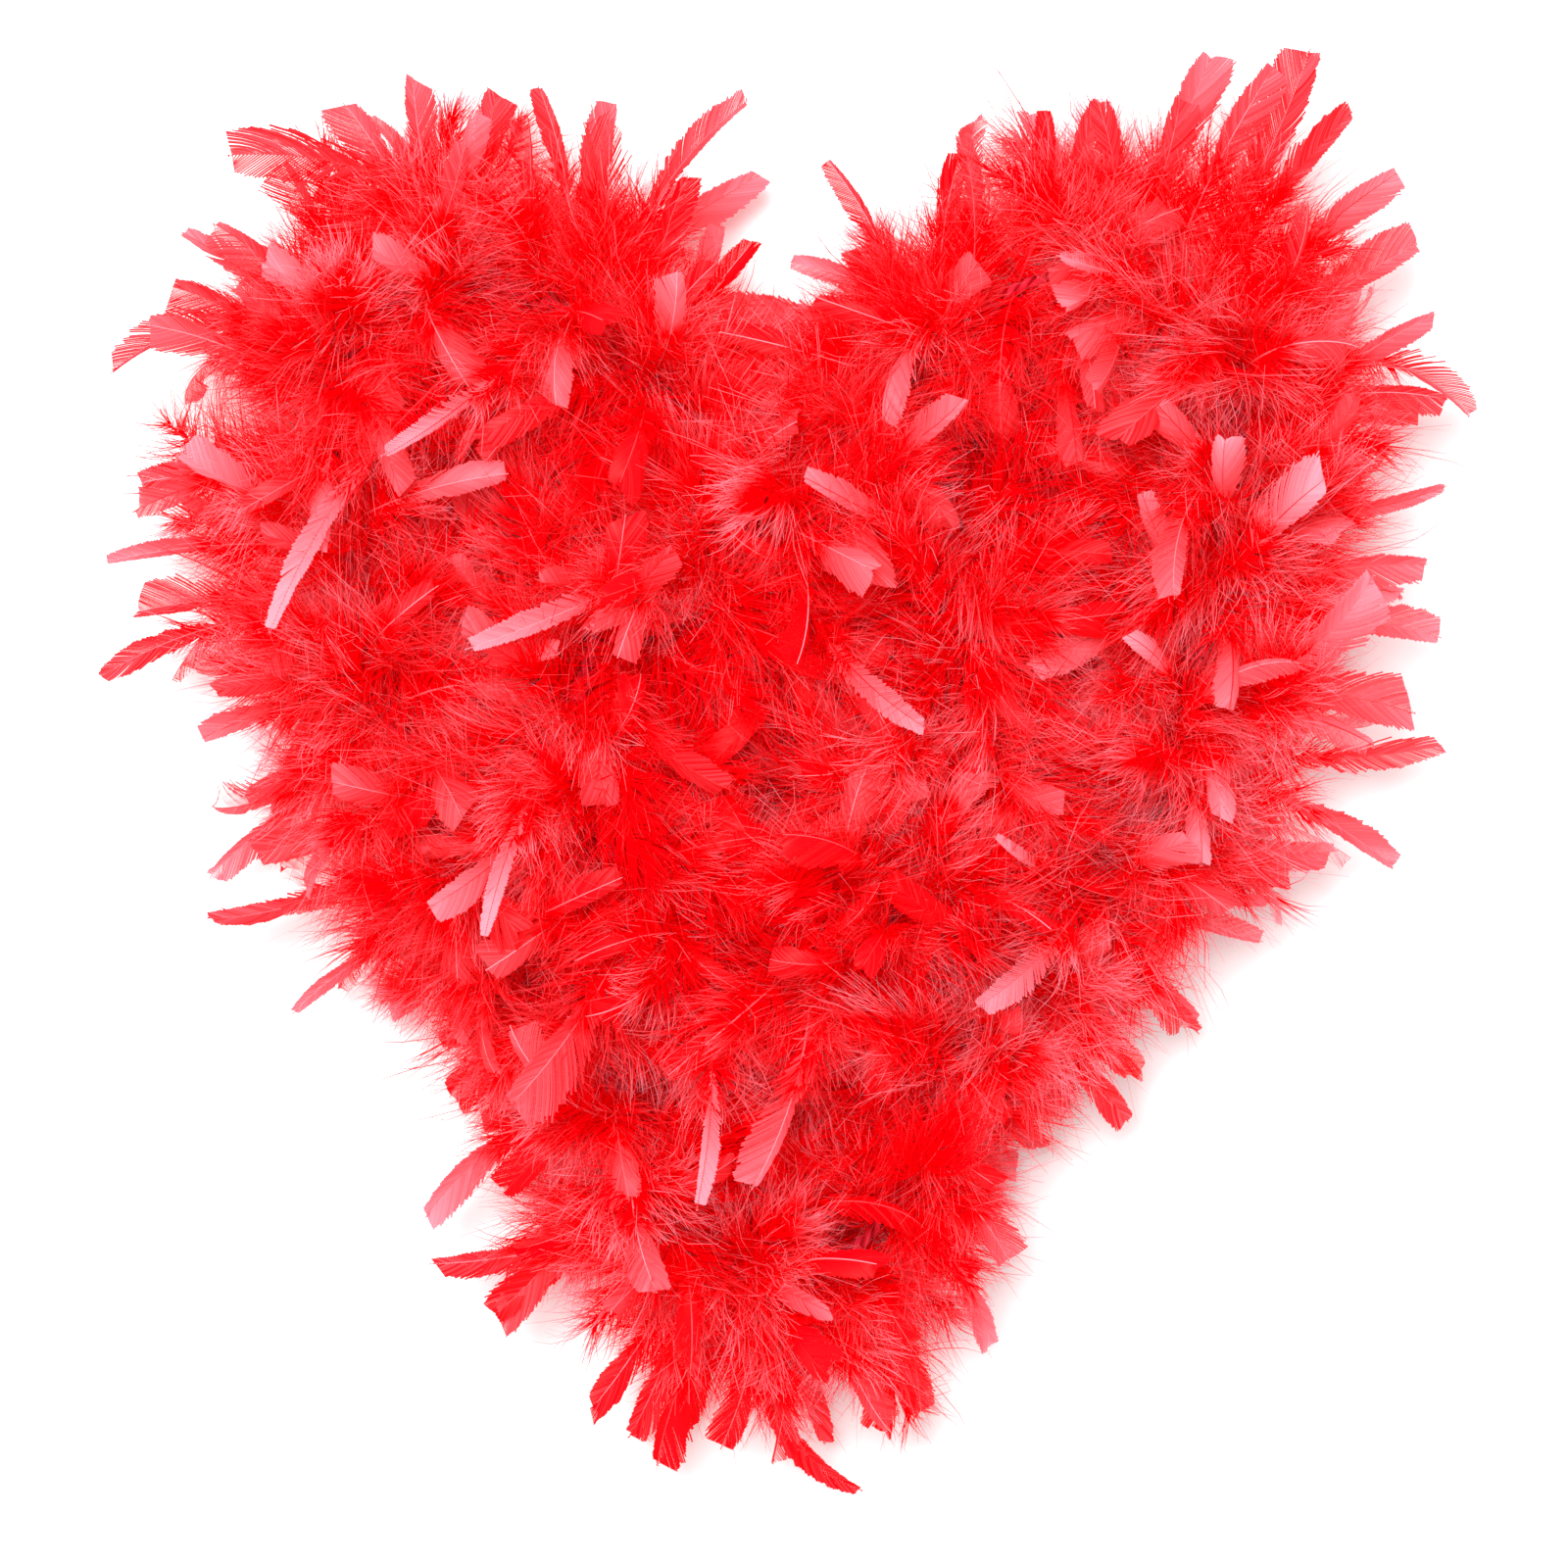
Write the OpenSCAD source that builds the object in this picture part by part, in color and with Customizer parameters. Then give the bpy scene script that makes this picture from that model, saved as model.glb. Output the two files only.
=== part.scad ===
/* [Plumage] */
// Length of an average feather, from the core to its tip
feather_length = 66; // [50:1:80]
// Width of a feather at its widest
feather_width = 14; // [8:0.5:18]
// Width of a feather across its blunt tip
tip_width = 8; // [2:0.5:8]
// Thickness of a feather with its down pressed flat
feather_thick = 0.8; // [0.6:0.1:1.5]
// How much the feathers differ in length, as a share of the average
length_spread = 0.24; // [0:0.02:0.4]
// Angle by which the feathers lean along the core
lean = 20; // [5:1:35]
// Angle by which each feather is turned on its own quill
spin = 60; // [0:5:90]
// Feathers tied in at each binding
feathers_per_binding = 6; // [4:1:7]
// Bindings in each stretch of plumage
bindings_per_stretch = 3; // [2:1:4]

/* [Core] */
// Thickness of the core cord
core_width = 5; // [4:0.5:6]
// Thickness of the binding thread
thread_width = 0.8; // [0.4:0.1:1.2]
// Width of each binding, a few turns of thread side by side
binding_width = 3; // [2:0.5:5]

/* [Ends] */
// Length of the whipping at each end of the core
whipping_length = 14; // [8:1:24]
// Width of the knot at each end
knot_width = 12; // [10:0.5:15]
// Length of the loose cord end beyond each knot
tail_length = 22; // [10:1:30]

/* [Hidden] */
STRETCHES = 30;
stretch_names = [for (i = [1 : STRETCHES]) str("feathers_", i < 10 ? "0" : "", i)];

// Colours
feather_red = [0.86, 0.03, 0.07];
cord_red = [0.62, 0.02, 0.05];
thread_red = [0.72, 0.03, 0.07];

// The way the boa is laid, from its first end to its last: up the middle, round the
// left lobe, down to the point, up round the right lobe, and a turn over the middle
route = [
    [14, -40, 44], [18, 10, 42], [8, 56, 44], [-12, 98, 48],
    [-44, 138, 50], [-82, 170, 48], [-124, 180, 46], [-156, 158, 46],
    [-164, 112, 46], [-158, 64, 46], [-144, 18, 46], [-124, -22, 46],
    [-98, -60, 46], [-72, -98, 46], [-52, -138, 46], [-32, -174, 44],
    [2, -190, 44], [32, -174, 44], [50, -136, 46], [74, -98, 46],
    [102, -60, 46], [130, -20, 46], [150, 22, 46], [162, 68, 46],
    [170, 118, 46], [162, 164, 46], [128, 186, 46], [88, 178, 48],
    [50, 144, 54], [14, 106, 64], [-28, 82, 70], [-66, 48, 68],
    [-74, 0, 64], [-50, -46, 62], [-6, -70, 62], [40, -56, 62],
    [66, -10, 62], [70, 44, 60], [62, 94, 58]
];
last_point = len(route) - 1;

function unit(v) = v / norm(v);

// A point on the smooth curve through the route, t of the way from point k to the next
function curve_point(k, t) =
    let (a = route[max(k - 1, 0)], b = route[k],
         c = route[k + 1], d = route[min(k + 2, last_point)])
    (2 * b + (c - a) * t + (2 * a - 5 * b + 4 * c - d) * t * t
        + (3 * b - a - 3 * c + d) * t * t * t) / 2;

// Points along the whole curve, a number of steps to each span of the route
function curve(steps) =
    concat([for (k = [0 : last_point - 1], j = [0 : steps - 1]) curve_point(k, j / steps)],
           [route[last_point]]);

// How far along the curve each of its points lies
function run_of(points) =
    [for (i = 0, run = 0; i < len(points);
          run = run + (i + 1 < len(points) ? norm(points[i + 1] - points[i]) : 0), i = i + 1) run];

fine_steps = 8;
fine = curve(fine_steps);
runs = run_of(fine);
core_length = runs[len(runs) - 1];

// The core's centre and heading at a distance along it
function core_part(run, axis) = lookup(run, [for (i = [0 : len(fine) - 1]) [runs[i], fine[i][axis]]]);
function core_at(run) = [core_part(run, 0), core_part(run, 1), core_part(run, 2)];
heading_reach = 4;
function heading_at(run) = unit(core_at(run + heading_reach) - core_at(run - heading_reach));

// Each stretch holds a whole number of bindings, evenly spaced between the two whippings
bindings = STRETCHES * bindings_per_stretch;
end_margin = whipping_length + 4;
binding_gap = (core_length - 2 * end_margin) / (bindings - 1);
function binding_run(i) = end_margin + i * binding_gap;

core_r = core_width / 2;
root_width = 1.4;
widest_at = 0.66;
// Steps of this share of the spread give lengths that don't repeat along the boa
golden = 0.618;
// How far the feathers of each binding are turned round from those of the one before
binding_turn = 137.5;
// The thread holds the quills just behind where they turn outwards
thread_back = 4;

// Stands its children on the core at a distance along it, with their X along the core
module on_core(run) {
    h = heading_at(run);
    translate(core_at(run)) rotate([0, -asin(h.z), atan2(h.y, h.x)]) children();
}

// One flat feather, from its quill at the origin to its tip along X
module feather(length) {
    linear_extrude(height = feather_thick, center = true)
        polygon([
            [core_r, -root_width / 2], [length * widest_at, -feather_width / 2],
            [length, -tip_width / 2], [length, tip_width / 2],
            [length * widest_at, feather_width / 2], [core_r, root_width / 2]
        ]);
}

function part_above_whole(x) = x - floor(x);

function feather_reach(i) =
    feather_length * (1 + length_spread * (2 * part_above_whole(i * golden) - 1));

// The feathers of one binding, fanned round the core
module feather_fan(i) {
    on_core(binding_run(i))
        for (j = [0 : feathers_per_binding - 1])
            rotate([i * binding_turn + j * 360 / feathers_per_binding, 0, 0])
                rotate([0, lean - 90, 0])
                    rotate([spin * (j % 2 == 0 ? 1 : -1), 0, 0])
                        feather(feather_reach(i * feathers_per_binding + j));
}

// The space above the surface that the boa lies on, where feathers are pressed flat
above_surface = 400;
module above_surface_space() {
    translate([-above_surface, -above_surface, 0]) cube([2 * above_surface, 2 * above_surface, above_surface]);
}

module feather_stretch(s) {
    color(feather_red) intersection() {
        above_surface_space();
        for (b = [0 : bindings_per_stretch - 1]) feather_fan(s * bindings_per_stretch + b);
    }
}

// The core cord, swept along the route
core_sides = 8;
ring_steps = 2;
module core_cord() {
    centres = curve(ring_steps);
    rings = len(centres);
    ring_points = [
        for (i = [0 : rings - 1])
            let (ahead = unit(centres[min(i + 1, rings - 1)] - centres[max(i - 1, 0)]),
                 side = unit(cross(ahead, [0, 0, 1])),
                 up = cross(side, ahead))
            for (j = [0 : core_sides - 1])
                let (turn = 360 * j / core_sides)
                centres[i] + core_r * (cos(turn) * side + sin(turn) * up)
    ];
    walls = [
        for (i = [0 : rings - 2], j = [0 : core_sides - 1], half = [0, 1])
            let (here = i * core_sides, there = here + core_sides, next = (j + 1) % core_sides)
            half == 0 ? [here + j, there + next, there + j] : [here + j, here + next, there + next]
    ];
    first_cap = [[for (j = [core_sides - 1 : -1 : 0]) j]];
    last_cap = [[for (j = [0 : core_sides - 1]) (rings - 1) * core_sides + j]];
    color(cord_red) polyhedron(ring_points, concat(walls, first_cap, last_cap));
}

// Turns of thread wound side by side round the core
module thread_band(run, length) {
    color(thread_red)
        on_core(run)
            rotate([0, 90, 0])
                difference() {
                    cylinder(h = length, r = core_r + thread_width, center = true, $fn = 32);
                    cylinder(h = length + 2, r = core_r, center = true, $fn = 32);
                }
}

module binding_thread() {
    for (i = [0 : bindings - 1]) thread_band(binding_run(i) - thread_back, binding_width);
}

// A close winding that holds the last quills and keeps the cord from fraying
module whipping(run) {
    thread_band(run, whipping_length);
}

// The overhand knot that stops the whipping sliding off: a ball of cord with a turn
// lying across it, just past the end of the core
knot_r = knot_width / 2;
knot_ball_r = 0.8 * knot_r;
knot_turn_r = 0.6 * knot_r;
knot_cord_r = 0.8 * core_r;
module end_knot_at(run, outwards) {
    color(cord_red)
        on_core(run)
            translate([outwards * knot_r, 0, 0]) {
                sphere(r = knot_ball_r, $fn = 32);
                rotate([0, 60, 20])
                    rotate_extrude($fn = 32) translate([knot_turn_r, 0]) circle(r = knot_cord_r, $fn = 16);
            }
}

// The short length of cord left beyond the knot, with a rounded end
module cord_end_at(run, outwards) {
    color(cord_red)
        on_core(run)
            translate([outwards * (knot_r + knot_ball_r), 0, 0])
                rotate([0, outwards * 90, 0]) {
                    cylinder(h = tail_length, r = knot_cord_r, $fn = 24);
                    translate([0, 0, tail_length]) sphere(r = knot_cord_r, $fn = 24);
                }
}

whipping_run = whipping_length / 2 + 1;

core_cord();
binding_thread();
whipping(whipping_run);  // start_whipping
whipping(core_length - whipping_run);  // end_whipping
end_knot_at(0, -1);  // start_knot
end_knot_at(core_length, 1);  // end_knot
cord_end_at(0, -1);  // start_cord_end
cord_end_at(core_length, 1);  // end_cord_end
for (s = [0 : STRETCHES - 1])
    feather_stretch(s);
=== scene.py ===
from math import radians

import bpy
import numpy as np
from bpy.props import (
    FloatProperty,
    FloatVectorProperty,
    IntProperty,
    PointerProperty,
)
from bpy.types import Operator, Panel, PropertyGroup
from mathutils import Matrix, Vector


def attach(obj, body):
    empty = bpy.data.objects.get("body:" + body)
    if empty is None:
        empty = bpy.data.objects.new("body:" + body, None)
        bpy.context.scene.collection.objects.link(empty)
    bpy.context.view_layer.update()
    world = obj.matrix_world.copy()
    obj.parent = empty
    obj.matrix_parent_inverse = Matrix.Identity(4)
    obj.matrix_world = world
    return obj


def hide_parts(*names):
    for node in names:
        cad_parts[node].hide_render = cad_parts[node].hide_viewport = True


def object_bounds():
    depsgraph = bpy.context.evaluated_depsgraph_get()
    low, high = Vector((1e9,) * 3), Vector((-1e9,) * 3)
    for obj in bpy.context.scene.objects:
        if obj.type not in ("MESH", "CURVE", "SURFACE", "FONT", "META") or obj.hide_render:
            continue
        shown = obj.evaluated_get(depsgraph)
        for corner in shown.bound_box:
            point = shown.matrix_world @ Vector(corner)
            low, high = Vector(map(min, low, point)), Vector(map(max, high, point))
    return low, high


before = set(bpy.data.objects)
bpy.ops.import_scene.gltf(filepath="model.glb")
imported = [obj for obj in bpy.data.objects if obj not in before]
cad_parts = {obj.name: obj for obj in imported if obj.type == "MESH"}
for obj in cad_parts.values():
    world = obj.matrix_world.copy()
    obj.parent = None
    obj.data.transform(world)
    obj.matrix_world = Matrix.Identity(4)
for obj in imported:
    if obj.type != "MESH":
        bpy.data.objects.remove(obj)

bl_info = {
    "name": "Feather boa",
    "version": (1, 0, 0),
    "blender": (4, 5, 0),
    "location": "3D View > Sidebar > Boa",
    "description": "A feather boa laid flat in a filled heart: plumage, core cord, binding and knots",
    "category": "Add Mesh",
}

CAD_BOX = np.array(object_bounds())
UP = np.array([0.0, 0.0, 1.0])

MILLIMETRE = 0.001


def in_metres(rows):
    """Rows of a root, a tip and perhaps a width in millimetres, then shares that stay as they are."""
    return [(*(MILLIMETRE * np.array(size) for size in row[:3]), *row[3:]) for row in rows]


# The way the boa is laid, from its first end to its last, as the part's own design has it
ROUTE = MILLIMETRE * np.array([
    (14, -40, 44), (18, 10, 42), (8, 56, 44), (-12, 98, 48), (-44, 138, 50), (-82, 170, 48),
    (-124, 180, 46), (-156, 158, 46), (-164, 112, 46), (-158, 64, 46), (-144, 18, 46), (-124, -22, 46),
    (-98, -60, 46), (-72, -98, 46), (-52, -138, 46), (-32, -174, 44), (2, -190, 44), (32, -174, 44),
    (50, -136, 46), (74, -98, 46), (102, -60, 46), (130, -20, 46), (150, 22, 46), (162, 68, 46),
    (170, 118, 46), (162, 164, 46), (128, 186, 46), (88, 178, 48), (50, 144, 54), (14, 106, 64),
    (-28, 82, 70), (-66, 48, 68), (-74, 0, 64), (-50, -46, 62), (-6, -70, 62), (40, -56, 62),
    (66, -10, 62), (70, 44, 60), (62, 94, 58),
])
# How full the plumage is at each point of the route, and how much paler its feathers' tips are made there
FULLNESS = [
    1.0, 1.0, 0.9, 0.72, 0.88, 1.12, 1.14, 0.98, 1.16, 1.0, 1.14, 1.1, 0.88, 0.7, 0.98, 1.1, 1.24, 0.62,
    0.6, 0.66, 0.92, 0.96, 0.96, 1.0, 0.92, 1.12, 1.04, 1.0, 0.76, 0.7, 0.76, 1.0, 1.0, 1.0, 1.0, 1.0,
    1.0, 1.0, 0.85,
]
PALENESS = [
    0.0, 0.0, 0.0, 0.1, 0.1, 0.15, 0.3, 0.35, 0.3, 0.25, 0.25, 0.2, 0.15, 0.1, 0.0, 0.0, 0.0, 0.0, 0.1,
    0.15, 0.25, 0.4, 0.55, 0.5, 0.35, 0.2, 0.3, 0.3, 0.2, 0.1, 0.1, 0.1, 0.0, 0.0, 0.0, 0.1, 0.1, 0.1,
    0.1,
]
# Feathers that stand clear of the rest or lie on top of it: a place near the core where the
# quill is tied in, where the tip lies, how wide the vane is on each side of its shaft, how far
# the shaft bows to its left as a share of its length, and how pale its tips are painted: the
# palest, on the feathers that lie on top, are painted highlights
PLACED = in_metres([
    ((150, 175), (195, 265, 60), 12, -0.06, 0.3),
    ((135, 184), (160, 264, 40), 11.5, 0.05, 0.5),
    ((140, 182), (180, 256, 75), 9.5, 0.05, 0.4),
    ((128, 186), (147, 247, 60), 9, -0.08, 0.3),
    ((110, 183), (119, 246, 50), 6, 0.15, 0.3),
    ((88, 178), (98, 242, 60), 6.5, -0.12, 0.2),
    ((70, 165), (68, 229, 60), 5, -0.1, 0.3),
    ((160, 168), (209, 240, 70), 9.5, 0.1, 0.3),
    ((164, 160), (228, 220, 50), 9, 0.1, 0.5),
    ((168, 140), (237, 195, 40), 10.5, 0.1, 0.4),
    ((168, 140), (256, 130, 50), 8, 0.38, 0.4),
    ((170, 125), (246, 136, 55), 8, 0.2, 0.3),
    ((168, 110), (240, 166, 70), 7, 0.12, 0.5),
    ((166, 90), (245, 104, 60), 4.5, -0.12, 0.5),
    ((155, 45), (243, 48, 60), 9, 0.18, 0.5),
    ((146, 10), (246, 9, 40), 12.5, -0.12, 0.4),
    ((140, 0), (229, -36, 30), 6.5, 0.14, 0.5),
    ((150, 22), (232, 20, 70), 13.5, 0.16, 0.4),
    ((120, -30), (184, -50, 30), 4.5, -0.15, 0.6),
    ((102, -60), (156, -95, 30), 4, 0.1, 0.5),
    ((80, -88), (130, -132, 30), 8, 0.12, 0.3),
    ((46, -142), (84, -181, 60), 9, 0.14, 0.4),
    ((40, -158), (79, -214, 40), 8, 0.15, 0.6),
    ((26, -180), (40, -247, 40), 9.5, 0.15, 0.2),
    ((-8, -188), (31, -273, 20), 6.5, -0.35, 0.2),
    ((2, -190), (-3, -257, 50), 8.5, 0.1, 0.2),
    ((-16, -184), (-46, -259, 40), 10.5, -0.1, 0.1),
    ((-8, -188), (-22, -250, 60), 9, 0.1, 0.1),
    ((-32, -174), (-70, -237, 50), 9.5, 0.08, 0.2),
    ((-44, -150), (-104, -205, 40), 9.5, -0.15, 0.3),
    ((-60, -120), (-133, -168, 30), 8.5, -0.18, 0.6),
    ((-104, -50), (-183, -92, 30), 4, -0.15, 0.5),
    ((-110, -40), (-186, -52, 40), 8, -0.1, 0.3),
    ((-146, 30), (-214, 11, 50), 7, -0.1, 0.5),
    ((-154, 58), (-251, 34, 50), 7, -0.16, 0.3),
    ((-160, 80), (-251, 77, 40), 4.5, -0.08, 0.5),
    ((-164, 100), (-235, 105, 60), 7, -0.15, 0.3),
    ((-160, 132), (-248, 146, 50), 8, -0.6, 0.3),
    ((-158, 150), (-220, 197, 60), 7, -0.1, 0.5),
    ((-84, 172), (-202, 224, 70), 16.5, -0.27, 0.3),
    ((-118, 181), (-135, 255, 60), 9.5, 0.08, 0.4),
    ((-75, 165), (-90, 254, 40), 5.5, -0.12, 0.3),
    ((-70, 160), (-62, 246, 50), 9, 0.1, 0.4),
    ((-62, 155), (-72, 236, 70), 10, -0.1, 0.3),
    ((-62, 155), (-12, 247, 50), 6.5, 0.22, 0.4),
    ((-50, 144), (-34, 218, 60), 8, 0.12, 0.2),
    ((50, 144), (17, 224, 60), 5, -0.15, 0.3),
    ((150, 180), (98, 182, 114), 4.5, 0.05, 1.0),
    ((-82, 170), (-142, 110, 114), 5, 0.1, 1.0),
    ((-90, 170), (-183, 48, 100), 6, -0.15, 0.9),
    ((-20, 90), (-112, 42, 114), 6, 0.06, 0.8),
    ((-12, 98), (-70, 50, 114), 9, 0.1, 0.5),
    ((14, 106), (66, 132, 114), 7.5, -0.15, 0.6),
    ((130, 60), (196, 104, 100), 12.5, 0.12, 0.9),
    ((150, 22), (214, 70, 90), 12.5, -0.2, 0.8),
    ((102, -20), (68, -86, 114), 8, 0.1, 0.9),
    ((102, -40), (76, -24, 114), 3.5, 0.05, 1.0),
    ((0, 80), (52, 14, 114), 6.5, -0.12, 0.7),
    ((-66, 20), (-105, -60, 112), 4.5, -0.08, 1.0),
    ((-74, 0), (-126, -50, 104), 8.5, 0.12, 0.6),
    ((-30, -60), (-30, -158, 106), 4.5, 0.1, 1.0),
    ((-32, -120), (-44, -188, 100), 11.5, -0.1, 0.5),
    ((10, -70), (-10, -150, 108), 10, 0.12, 0.5),
    ((150, 120), (140, 60, 114), 10, -0.2, 0.5),
    ((-50, -46), (-96, -120, 104), 11.5, 0.1, 0.4),
    ((-160, 130), (-233, 163, 60), 10.5, -0.15, 0.4),
    ((-160, 140), (-222, 176, 70), 10, -0.12, 0.3),
    ((-156, 60), (-237, 58, 50), 10, -0.12, 0.3),
    ((-140, 10), (-197, -10, 50), 9, -0.1, 0.3),
    ((125, -28), (188, -40, 45), 8.5, 0.1, 0.3),
    ((160, 60), (238, 75, 60), 8.5, 0.1, 0.5),
    ((88, -80), (134, -112, 40), 8.5, 0.1, 0.2),
    ((-110, 178), (-104, 248, 60), 9.5, 0.1, 0.3),
    ((-100, 176), (-92, 238, 75), 9, -0.1, 0.2),
    ((-44, 138), (-10, 194, 55), 6.5, 0.1, 0.1),
    ((-40, -160), (-106, -203, 40), 9.5, -0.1, 0.2),
    ((60, 152), (66, 226, 60), 9, 0.1, 0.2),
    ((-44, -150), (-98, -178, 50), 9.5, 0.1, 0.1),
    ((26, -180), (52, -238, 40), 8, 0.1, 0.2),
    ((-32, -174), (-56, -248, 45), 9, 0.1, 0.2),
    ((-140, 170), (-182, 222, 65), 9.5, 0.1, 0.3),
    ((-124, -22), (-194, -32, 45), 9, -0.1, 0.3),
    ((-130, 182), (-160, 244, 65), 10, -0.12, 0.4),
])
# Feathers of down laid over the open middle of each lobe: root and tip
FILLING = in_metres([
    ((-44, 138), (-100, 122, 62)), ((-124, 180), (-94, 114, 58)), ((-162, 112), (-96, 128, 66)),
    ((-66, 48), (-100, 108, 72)), ((-82, 170), (-110, 104, 50)), ((-150, 40), (-106, 92, 56)),
    ((50, 144), (116, 106, 62)), ((128, 186), (106, 118, 58)), ((168, 100), (110, 98, 66)),
    ((70, 44), (110, 88, 70)), ((150, 22), (112, 70, 52)), ((88, 178), (112, 128, 56)),
    ((102, -60), (96, 2, 56)), ((-124, -22), (-108, 30, 56)), ((18, 10), (-28, 20, 70)),
    ((18, 10), (40, -8, 74)), ((-28, 82), (-26, 30, 78)), ((40, -56), (34, -110, 62)),
    ((-52, -138), (-8, -130, 60)), ((50, -136), (4, -142, 56)), ((-74, 0), (-16, -4, 80)),
    ((-50, -46), (-18, -22, 84)), ((-6, -70), (-22, -14, 78)), ((66, -10), (14, 0, 80)),
    ((70, 44), (30, 26, 80)), ((-66, 48), (-12, 26, 84)), ((62, 94), (6, 62, 78)),
    ((70, 44), (100, 10, 74)), ((130, -20), (84, 22, 66)), ((-28, 82), (18, 50, 80)),
    ((-60, 155), (-96, 110, 30)), ((-160, 80), (-92, 110, 28)), ((-150, 160), (-96, 130, 30)),
    ((-48, 60), (-94, 104, 40)), ((66, 160), (104, 100, 30)), ((168, 120), (100, 104, 28)),
    ((155, 45), (96, 92, 30)), ((66, 70), (116, 98, 36)), ((66, 80), (92, 112, 60)),
    ((150, 176), (100, 112, 40)),
])
FEATHER_NODES = sorted(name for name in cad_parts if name.startswith("feathers_"))


# ---------------------------------------------------------------- the core's curve

def smooth_curve(points, steps):
    """Points on the smooth curve through a route, a number of steps to each span."""
    p = np.array(points)
    k = np.arange(len(p) - 1)
    before, here, there, after = (p[np.clip(k + ahead, 0, len(p) - 1)] for ahead in (-1, 0, 1, 2))
    t = (np.arange(steps) / steps)[None, :, None]
    a, b, c, d = (q[:, None, :] for q in (before, here, there, after))
    spans = (2 * b + (c - a) * t + (2 * a - 5 * b + 4 * c - d) * t**2
             + (3 * b - a - 3 * c + d) * t**3) / 2
    return np.vstack([spans.reshape(-1, 3), p[-1:]])


def unit(v):
    return v / np.linalg.norm(v, axis=-1, keepdims=True)


CURVE_STEPS = 8


class Core:
    """The core cord's centreline, read by the distance along it."""

    def __init__(self):
        self.points = smooth_curve(ROUTE, CURVE_STEPS)
        steps = np.linalg.norm(np.diff(self.points, axis=0), axis=1)
        self.runs = np.concatenate([[0.0], np.cumsum(steps)])
        self.length = self.runs[-1]

    def on_curve(self, run):
        return np.stack([np.interp(run, self.runs, self.points[:, k]) for k in range(3)], axis=-1)

    def at(self, run):
        """Places along the core, and straight on past either end."""
        inside = np.clip(run, 0, self.length)
        return self.on_curve(inside) + self.heading(inside) * (run - inside)[..., None]

    def heading(self, run, reach=0.004):
        near = [np.clip(run + k, 0, self.length) for k in (-reach, reach)]
        behind, beyond = (self.on_curve(run) for run in near)
        return unit(beyond - behind)

    def frames(self, run):
        """Heading, side and over at distances along the core."""
        heading = self.heading(np.clip(run, 0, self.length))
        side = unit(np.cross(heading, UP))
        return heading, side, np.cross(side, heading)

    def nearest(self, place):
        """The distance along the core of the point that lies nearest in plan."""
        gaps = np.linalg.norm(self.points[:, :2] - np.array(place[:2]), axis=1)
        return self.runs[gaps.argmin()]

    def by_route(self, run, values):
        """What a list with a value for each point of the route gives at distances along it."""
        return np.interp(run, self.runs[::CURVE_STEPS], values)


CORE = Core()
BINDINGS_PER_STRETCH = 3
END_MARGIN = 0.018
# The thread is wound this far behind where the quills turn outwards
BEHIND_QUILLS = 0.004
THREAD_SEED, FRAY_SEED = 5, 6
# Feathers that point to the heart's middle are longer, and those that end in its notch shorter
MIDDLE = np.array([0.0, 0.04])
TOWARDS_MIDDLE = 1.2
NOTCH = np.array([0.005, 0.203])
NOTCH_REACH = 0.024
INTO_NOTCH = 0.75
# Feathers that stand upright are pressed down by this share of their length
PRESSED_DOWN = 0.28
# How far from the core's centreline a quill starts
QUILL_START = 0.0025
# How far inside the part's own box a straight feather's tip stays, before it bends
TIP_ROOM = np.array([[-0.006, -0.006, 0.006], [0.006, 0.006, 0.012]])
# How far past the part's own box a single barb may reach
BARB_ROOM = np.array([[0.021, 0.021, 0.0], [0.021, 0.021, 0.011]])
BINDINGS = np.linspace(END_MARGIN, CORE.length - END_MARGIN, BINDINGS_PER_STRETCH * len(FEATHER_NODES))


# The place that the camera looks down on, and the stage round it
CAMERA_OVER = (0.0014, -0.0056)
FLOOR_HALF = 4.0
LIGHT_PLACE = (-0.35, 0.5, 1.85)
LIGHT_TILT = (radians(-15), radians(-11), 0)
LIGHT_SIZE = 0.9


# ---------------------------------------------------------------- settings

class StageSettings(PropertyGroup):
    camera_height: FloatProperty(
        name="Camera height", description="Height of the camera above the floor",
        default=1.66, min=0.5, max=5.0, unit="LENGTH")
    camera_lens: FloatProperty(
        name="Lens", description="Focal length of the camera", default=100.0, min=20.0, max=200.0,
        subtype="DISTANCE_CAMERA")
    floor_colour: FloatVectorProperty(
        name="Floor", description="Colour of the floor", default=(0.96, 0.96, 0.96), subtype="COLOR")
    sky_strength: FloatProperty(
        name="Room light", description="Strength of the even light all round", default=0.9, min=0.0, max=4.0)
    overhead_power: FloatProperty(
        name="Overhead light", description="Power of the large soft light above", default=46.0, min=0.0,
        max=200.0, subtype="POWER")


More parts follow.
